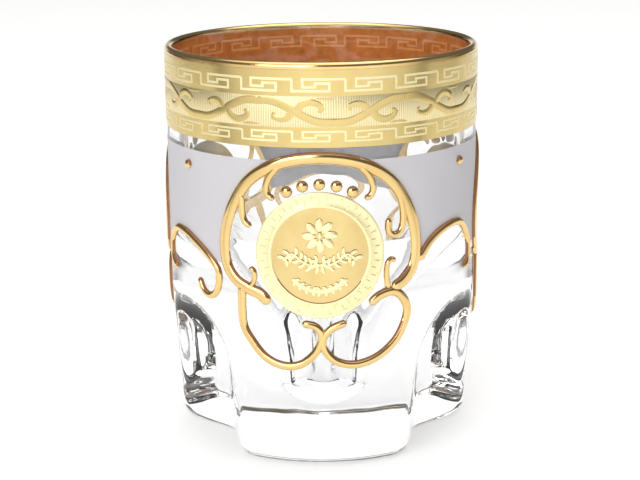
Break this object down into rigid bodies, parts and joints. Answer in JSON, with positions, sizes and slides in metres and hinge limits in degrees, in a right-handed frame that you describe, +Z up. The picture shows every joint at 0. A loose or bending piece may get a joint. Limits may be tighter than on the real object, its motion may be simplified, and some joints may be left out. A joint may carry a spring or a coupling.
{
  "type": "shot glass",
  "caption": "Footed crystal shot glass with a gilded rim band, satin panels and gold medallions in raised scrollwork, for serving spirits or as a keepsake.",
  "frame": {"origin": "on the ground under the middle of the glass, on its axis", "axes": "+Z up along the glass's axis, the front medallion faces -Y, +X to the viewer's right"},
  "size_m": [0.0514, 0.0514, 0.0635],
  "materials": {
    "crystal_glass": "clear, fire-polished",
    "satin_glass": "fine matt etch, pale lilac grey",
    "polished_gold": "burnished bright gold",
    "etched_gold": "burnished gold with matt etched friezes",
    "medallion_gold": "pale satin gold in low relief"
  },
  "bodies": {
    "root": {"glass_body": "crystal_glass", "gold_band": "etched_gold", "gold_rim_lip": "polished_gold", "satin_panel_1": "satin_glass", "satin_panel_2": "satin_glass", "satin_panel_3": "satin_glass", "medallion_1_scroll_frame": "polished_gold", "medallion_1_disc": "medallion_gold", "medallion_1_border": "medallion_gold", "medallion_1_rosette": "medallion_gold", "medallion_1_sprays": "medallion_gold", "medallion_1_garland": "medallion_gold", "medallion_1_pearl_1": "polished_gold", "medallion_1_pearl_2": "polished_gold", "medallion_1_pearl_3": "polished_gold", "medallion_1_pearl_4": "polished_gold", "medallion_1_pearl_5": "polished_gold", "medallion_2_scroll_frame": "polished_gold", "medallion_2_disc": "medallion_gold", "medallion_2_border": "medallion_gold", "medallion_2_rosette": "medallion_gold", "medallion_2_sprays": "medallion_gold", "medallion_2_garland": "medallion_gold", "medallion_2_pearl_1": "polished_gold", "medallion_2_pearl_2": "polished_gold", "medallion_2_pearl_3": "polished_gold", "medallion_2_pearl_4": "polished_gold", "medallion_2_pearl_5": "polished_gold", "medallion_3_scroll_frame": "polished_gold", "medallion_3_disc": "medallion_gold", "medallion_3_border": "medallion_gold", "medallion_3_rosette": "medallion_gold", "medallion_3_sprays": "medallion_gold", "medallion_3_garland": "medallion_gold", "medallion_3_pearl_1": "polished_gold", "medallion_3_pearl_2": "polished_gold", "medallion_3_pearl_3": "polished_gold", "medallion_3_pearl_4": "polished_gold", "medallion_3_pearl_5": "polished_gold", "scroll_link_1": "polished_gold", "scroll_link_2": "polished_gold", "scroll_link_3": "polished_gold", "gold_dot_1": "polished_gold", "gold_dot_2": "polished_gold", "gold_dot_3": "polished_gold"}
  },
  "joints": []
}
